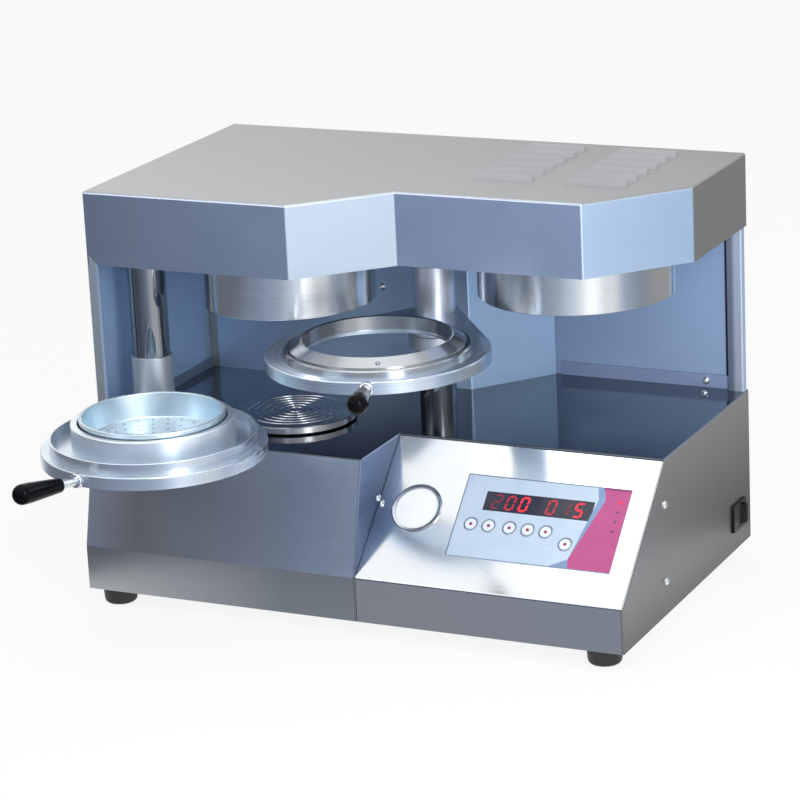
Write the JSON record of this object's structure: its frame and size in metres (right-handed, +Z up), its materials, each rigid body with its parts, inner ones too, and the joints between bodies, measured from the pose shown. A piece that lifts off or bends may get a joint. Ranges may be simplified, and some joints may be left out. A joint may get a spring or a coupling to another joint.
{
  "type": "two-station heated press",
  "caption": "Table-top two-station heating and pressing machine with swing-out bowl and ring trays on chromed columns, a lifting platen and a sloping control panel.",
  "frame": {"origin": "bottom centre of the whole bounding box, trays swung out at the front, on the plane of the feet", "axes": "+X to the right seen from the front, +Y to the back, +Z up"},
  "size_m": [0.5278, 0.5384, 0.381],
  "materials": {
    "casing_steel": "satin brushed stainless steel",
    "lid_steel": "satin brushed stainless steel",
    "deck_steel": "semi-polished stainless steel",
    "wall_steel": "satin stainless steel",
    "panel_steel": "semi-polished stainless steel",
    "chrome": "hard-chromed, polished",
    "tray_aluminium": "turned and satin finished",
    "bowl_aluminium": "bead-blasted",
    "head_aluminium": "turned, bright",
    "platen_aluminium": "turned with concentric grooves",
    "turned_steel": "turned",
    "screw_steel": "zinc plated",
    "bronze": "turned bearing bronze",
    "black_rubber": "moulded",
    "silicone": "moulded silicone",
    "grip_black": "glossy moulded",
    "switch_black": "moulded",
    "rocker_red": "translucent moulded",
    "overlay": "printed membrane",
    "window": "tinted",
    "digits_red": "display block",
    "lamp_red": "lens",
    "key_white": "membrane key",
    "board_green": "circuit board",
    "motor_grey": "painted",
    "heater_mica": "mica heating disc"
  },
  "bodies": {
    "housing": {"base_casing": "casing_steel", "left_front_panel": "casing_steel", "bottom_plate": "casing_steel", "deck_plate": "deck_steel", "lid_cover": "lid_steel", "left_side_panel": "wall_steel", "bay_wall": "wall_steel", "rear_cover": "wall_steel", "rubber_feet": "black_rubber", "casing_screws": "screw_steel", "left_column": "chrome", "centre_column": "chrome", "column_feet": "turned_steel", "column_nuts": "turned_steel", "head_carrier": "turned_steel", "press_head": "head_aluminium", "press_seal": "silicone", "press_heater": "heater_mica", "heater_head": "head_aluminium", "heater_plate": "turned_steel", "ram_bush": "bronze", "lift_gearmotor": "motor_grey", "deck_collar": "turned_steel", "stop_collar": "turned_steel", "control_panel": "panel_steel", "keypad_overlay": "overlay", "display_window": "window", "display_digits": "digits_red", "indicator_lamps": "lamp_red", "control_board": "board_green", "port_rim": "chrome", "port_blank": "panel_steel", "switch_body": "switch_black", "power_inlet": "switch_black", "transformer": "motor_grey"},
    "platen": {"lift_platen": "platen_aluminium", "lift_ram": "turned_steel", "lift_nut": "bronze"},
    "screw": {"lead_screw": "turned_steel"},
    "bowl_carriage": {"bowl_tray_sleeve": "turned_steel"},
    "bowl_tray": {"bowl_tray_plate": "tray_aluminium", "tray_catch": "chrome", "cup_ring": "tray_aluminium", "bowl_handle_rod": "chrome", "bowl_handle_grip": "grip_black"},
    "bowl": {"mould_bowl": "bowl_aluminium"},
    "ring_carriage": {"ring_tray_sleeve": "turned_steel"},
    "ring_tray": {"ring_tray_plate": "tray_aluminium", "clamp_insert": "tray_aluminium", "ring_handle_rod": "chrome", "ring_handle_grip": "grip_black"},
    "rocker": {"switch_rocker": "rocker_red"},
    "key_temperature": {"key_temperature": "key_white"},
    "key_heating_time": {"key_heating_time": "key_white"},
    "key_pressing_time": {"key_pressing_time": "key_white"},
    "key_down": {"key_down": "key_white"},
    "key_up": {"key_up": "key_white"},
    "key_start": {"key_start": "key_white"}
  },
  "joints": [
    {"name": "platen_lift", "type": "slide", "parent": "housing", "child": "platen", "axis": [0, 0, 1], "range_m": [0, 0.0508]},
    {"name": "screw_turn", "type": "hinge", "parent": "housing", "child": "screw", "pos_m": [-0.10183, 0.06655, 0.0495], "axis": [0, 0, 1], "range_deg": [-5, 3662.6]},
    {"name": "bowl_tray_lift", "type": "slide", "parent": "housing", "child": "bowl_carriage", "axis": [0, 0, 1], "range_m": [0, 0.0486]},
    {"name": "bowl_tray_swing", "type": "hinge", "parent": "bowl_carriage", "child": "bowl_tray", "pos_m": [-0.21776, 0.01493, 0.1676], "axis": [0, 0, 1], "range_deg": [0, 85]},
    {"name": "bowl_lift_out", "type": "slide", "parent": "bowl_tray", "child": "bowl", "axis": [0, 0, 1], "range_m": [0, 0.022]},
    {"name": "ring_tray_lift", "type": "slide", "parent": "housing", "child": "ring_carriage", "axis": [0, 0, 1], "range_m": [0, 0.0084]},
    {"name": "ring_tray_swing", "type": "hinge", "parent": "ring_carriage", "child": "ring_tray", "pos_m": [0.00942, 0.13419, 0.2375], "axis": [0, 0, 1], "range_deg": [-61.1, 99.73]},
    {"name": "rocker_tilt", "type": "hinge", "parent": "housing", "child": "rocker", "pos_m": [0.25767, 0.23475, 0.047], "axis": [0, 0, 1], "range_deg": [0, 18]},
    {"name": "press_temperature", "type": "slide", "parent": "housing", "child": "key_temperature", "axis": [0, 0.6923, -0.7216], "range_m": [0, 0.0008], "stiffness_N_per_m": 400, "springref_m": -0.0005},
    {"name": "press_heating_time", "type": "slide", "parent": "housing", "child": "key_heating_time", "axis": [0, 0.6923, -0.7216], "range_m": [0, 0.0008], "stiffness_N_per_m": 400, "springref_m": -0.0005},
    {"name": "press_pressing_time", "type": "slide", "parent": "housing", "child": "key_pressing_time", "axis": [0, 0.6923, -0.7216], "range_m": [0, 0.0008], "stiffness_N_per_m": 400, "springref_m": -0.0005},
    {"name": "press_down", "type": "slide", "parent": "housing", "child": "key_down", "axis": [0, 0.6923, -0.7216], "range_m": [0, 0.0008], "stiffness_N_per_m": 400, "springref_m": -0.0005},
    {"name": "press_up", "type": "slide", "parent": "housing", "child": "key_up", "axis": [0, 0.6923, -0.7216], "range_m": [0, 0.0008], "stiffness_N_per_m": 400, "springref_m": -0.0005},
    {"name": "press_start", "type": "slide", "parent": "housing", "child": "key_start", "axis": [0, 0.6923, -0.7216], "range_m": [0, 0.0008], "stiffness_N_per_m": 400, "springref_m": -0.0005}
  ],
  "couplings": [
    {"joint": "screw_turn", "follows": "platen_lift", "rad_per_m": 1256.6}
  ]
}
